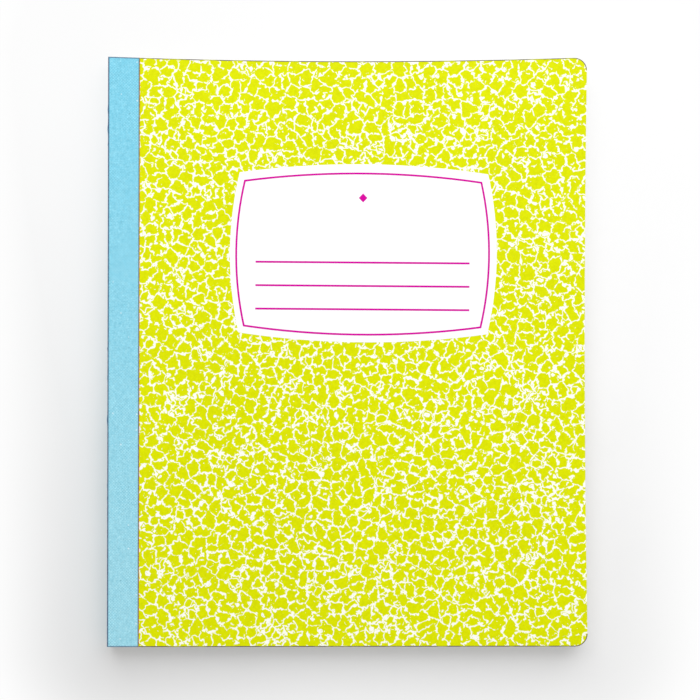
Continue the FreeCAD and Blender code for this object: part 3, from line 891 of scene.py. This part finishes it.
class NOTEBOOK_OT_covers(bpy.types.Operator):
    """Make both printed boards"""

    bl_idname = "notebook.covers"
    bl_label = "Boards"

    def execute(self, context):
        covers = context.scene.notebook_covers
        edge = board_edge(covers)
        rim = worn_rim(covers)
        for side, shift in (("front", (31.0, 12.0)), ("back", (-217.0, 96.0))):
            front = side == "front"
            core = finish_piece(make_core(covers, front), side + "_board_core", edge)
            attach(core, side + "_cover")
            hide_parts(side + "_board")
            marbling = marbled_print(side + "_marbling", covers, shift)
            skin = finish_piece(make_skin(covers, front), side + "_cover_paper", marbling, rim)
            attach(skin, side + "_cover")
        return {"FINISHED"}


class NOTEBOOK_OT_tape(bpy.types.Operator):
    """Make the tape that wraps the spine"""

    bl_idname = "notebook.tape"
    bl_label = "Tape"

    def execute(self, context):
        tape = context.scene.notebook_tape
        cloth = tape_cloth(tape)
        for side, turn in (("front", 1), ("back", -1)):
            piece = finish_piece(make_tape(tape, turn > 0), side + "_tape", cloth,
                                 smooth=SMOOTH_ANGLE)
            keep_places(piece)
            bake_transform(piece)
            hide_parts("tape_spine", "tape_" + side + "_flap")
        return {"FINISHED"}


class NOTEBOOK_OT_leaves(bpy.types.Operator):
    """Make the folded leaves, the ruled outer pages, the pasted leaves and the thread"""

    bl_idname = "notebook.leaves"
    bl_label = "Leaves"

    def execute(self, context):
        leaves = context.scene.notebook_leaves
        layered = writing_paper("leaf_paper", leaves, leaf_tones=True)
        stack = finish_piece(make_leaf_stack(leaves), "leaves", layered, smooth=SMOOTH_ANGLE)
        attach(stack, "book_block")
        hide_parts("page_block")
        ruled = ruled_paper(leaves)
        pasted = writing_paper("pasted_paper", leaves)
        folded = writing_paper("joint_paper", leaves, bends=True)
        for side in ("first", "last"):
            page = finish_piece(make_page(side == "first"), side + "_page", ruled)
            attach(page, "book_block")
        for side, turn in (("front", 1), ("back", -1)):
            dress(side + "_pastedown", pasted)
            joint = finish_piece(make_joint_paper(turn > 0), side + "_joint_paper", folded,
                                 smooth=SMOOTH_ANGLE)
            keep_places(joint)
            low = JOINT_LOW.copy()
            high = JOINT_HIGH.copy()
            if turn < 0:
                low.z = TOP - low.z
                high.z = TOP - high.z
            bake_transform(joint)
        dress("sewing_thread", sewing_cotton())
        return {"FINISHED"}


class NOTEBOOK_OT_label(bpy.types.Operator):
    """Give the printed label its paper and ink"""

    bl_idname = "notebook.label"
    bl_label = "Label"

    def execute(self, context):
        label = context.scene.notebook_label
        dress("label_panel", printed_film("label_paper", label.field, 0.012))
        line = printed_film("magenta_ink", label.line, 0.06)
        for name in ("label_border", "label_rules", "label_mark"):
            dress(name, line)
        return {"FINISHED"}


def table_finish(stage):
    """A white table with painted shade, a little darker beside the spine and the tail. Cameras and
    mirrors see it whiten a little way from the book, and sooner towards the head, which is painted
    light; next to the book they see a share of white, which lifts its shadow."""
    finish = Finish("white_table", Roughness=0.9, Specular_IOR_Level=0.0)
    grain = finish.noise(finish.place, 30.0, detail=2.0)
    base = finish.tone(TABLE_WHITE, grain, 0.985, 1.015)
    # Painted shade on the table: darker towards the spine side and towards the tail.
    base = finish.tone(base, finish.ramp(finish.across, SPINE / MM, 0.0), 0.90, 1.0)
    finish.colour(finish.tone(base, finish.ramp(finish.up, TAIL / MM, 0.0), 0.93, 1.0))
    beyond_x = finish.maths("SUBTRACT", finish.maths("ABSOLUTE", finish.across), FORE / MM)
    beyond_y = finish.maths("SUBTRACT", finish.maths("ABSOLUTE", finish.up), HEAD / MM)
    away = finish.tree.nodes.new("ShaderNodeCombineXYZ")
    finish.feed(away.inputs["X"], finish.maths("MAXIMUM", beyond_x, 0.0))
    finish.feed(away.inputs["Y"], finish.maths("MAXIMUM", beyond_y, 0.0))
    distance = finish.vector("LENGTH", away.outputs["Vector"])
    # Painted light for cameras and mirrors: a share of white next to the book lifts its shadow, and
    # more white comes towards the head.
    share = finish.ramp(distance, stage.white_from / MM, stage.white_at / MM, 0.18, 1.0)
    painted_head_light = finish.ramp(finish.up, TAIL / MM, 1.2 * HEAD / MM, 0.0, 0.8)
    share = finish.maths("MAXIMUM", share, painted_head_light)
    path = finish.tree.nodes.new("ShaderNodeLightPath")
    seen = finish.maths("MAXIMUM", path.outputs["Is Camera Ray"], path.outputs["Is Glossy Ray"])
    seen = finish.maths("MAXIMUM", seen, path.outputs["Is Transmission Ray"])
    glow = finish.tree.nodes.new("ShaderNodeEmission")
    mixed = finish.tree.nodes.new("ShaderNodeMixShader")
    output = finish.tree.nodes.get("Material Output")
    finish.feed(mixed.inputs["Fac"], finish.maths("MULTIPLY", share, seen))
    finish.tree.links.new(finish.shader.outputs["BSDF"], mixed.inputs[1])
    finish.tree.links.new(glow.outputs["Emission"], mixed.inputs[2])
    finish.tree.links.new(mixed.outputs["Shader"], output.inputs["Surface"])
    return finish.material


def light_room(stage):
    """A white room: plain light for the book, plain white for cameras and mirrors."""
    world = bpy.data.worlds.new("white_room")
    world.use_nodes = True
    tree = world.node_tree
    tree.nodes.clear()
    output = tree.nodes.new("ShaderNodeOutputWorld")
    path = tree.nodes.new("ShaderNodeLightPath")
    seen = path.outputs["Is Camera Ray"]
    for ray in ("Is Glossy Ray", "Is Transmission Ray"):
        larger = tree.nodes.new("ShaderNodeMath")
        larger.operation = "MAXIMUM"
        tree.links.new(seen, larger.inputs[0])
        tree.links.new(path.outputs[ray], larger.inputs[1])
        seen = larger.outputs["Value"]
    mixed = tree.nodes.new("ShaderNodeMixShader")
    tree.links.new(seen, mixed.inputs["Fac"])
    for slot, strength in ((1, stage.sky), (2, 1.0)):
        background = tree.nodes.new("ShaderNodeBackground")
        background.inputs["Color"].default_value = (1.0, 1.0, 1.0, 1.0)
        background.inputs["Strength"].default_value = strength
        tree.links.new(background.outputs["Background"], mixed.inputs[slot])
    tree.links.new(mixed.outputs["Shader"], output.inputs["Surface"])
    bpy.context.scene.world = world


def light_window(power):
    """A large soft light beyond the head of the book, turned to its middle."""
    lamp = bpy.data.lights.new("head_window", "AREA")
    lamp.shape = "RECTANGLE"
    lamp.size = WINDOW_WIDTH
    lamp.size_y = WINDOW_HEIGHT
    lamp.energy = power
    window = bpy.data.objects.new("head_window", lamp)
    bpy.context.scene.collection.objects.link(window)
    window.location = WINDOW_PLACE
    window.rotation_euler = (-Vector(WINDOW_PLACE)).to_track_quat("-Z", "Y").to_euler()


def place_camera(stage):
    """The camera over the book."""
    lens = bpy.data.cameras.new("overhead")
    lens.lens = stage.lens
    lens.sensor_width = SENSOR_WIDTH
    lens.clip_start = NEAREST_SEEN
    camera = bpy.data.objects.new("overhead", lens)
    bpy.context.scene.collection.objects.link(camera)
    camera.location = stage.camera_place
    camera.rotation_euler = stage.camera_turn
    bpy.context.scene.camera = camera


class NOTEBOOK_OT_stage(bpy.types.Operator):
    """Make the white table, the lights and the camera"""

    bl_idname = "notebook.stage"
    bl_label = "Stage"

    def execute(self, context):
        stage = context.scene.notebook_stage
        bm = bmesh.new()
        bmesh.ops.create_grid(bm, x_segments=1, y_segments=1, size=TABLE_REACH)
        table = finish_piece(bm, "table", table_finish(stage))
        light_room(stage)
        light_window(stage.key)
        place_camera(stage)
        context.scene.view_settings.view_transform = "Standard"
        return {"FINISHED"}


class NOTEBOOK_PT_sidebar(bpy.types.Panel):
    """Sizes, colours and steps of the notebook"""

    bl_idname = "NOTEBOOK_PT_sidebar"
    bl_label = "Composition notebook"
    bl_space_type = "VIEW_3D"
    bl_region_type = "UI"
    bl_category = "Notebook"

    def draw(self, context):
        for operator, settings in STEPS:
            box = self.layout.box()
            box.operator(operator.bl_idname)
            group = getattr(context.scene, settings)
            for name in group.bl_rna.properties.keys():
                if name not in ("rna_type", "name"):
                    box.prop(group, name)


GROUPS = {
    "notebook_covers": NotebookCovers,
    "notebook_tape": NotebookTape,
    "notebook_leaves": NotebookLeaves,
    "notebook_label": NotebookLabel,
    "notebook_stage": NotebookStage,
}

STEPS = (
    (NOTEBOOK_OT_stage, "notebook_stage"),
    (NOTEBOOK_OT_covers, "notebook_covers"),
    (NOTEBOOK_OT_tape, "notebook_tape"),
    (NOTEBOOK_OT_leaves, "notebook_leaves"),
    (NOTEBOOK_OT_label, "notebook_label"),
)


def register():
    for name, group in GROUPS.items():
        bpy.utils.register_class(group)
        setattr(bpy.types.Scene, name, bpy.props.PointerProperty(type=group))
    for operator, _ in STEPS:
        bpy.utils.register_class(operator)
    bpy.utils.register_class(NOTEBOOK_PT_sidebar)


def unregister():
    bpy.utils.unregister_class(NOTEBOOK_PT_sidebar)
    for operator, _ in reversed(STEPS):
        bpy.utils.unregister_class(operator)
    for name, group in reversed(GROUPS.items()):
        delattr(bpy.types.Scene, name)
        bpy.utils.unregister_class(group)


def main():
    register()
    bpy.ops.notebook.stage()
    bpy.ops.notebook.covers()
    bpy.ops.notebook.tape()
    bpy.ops.notebook.leaves()
    bpy.ops.notebook.label()


if __name__ == "__main__":
    main()
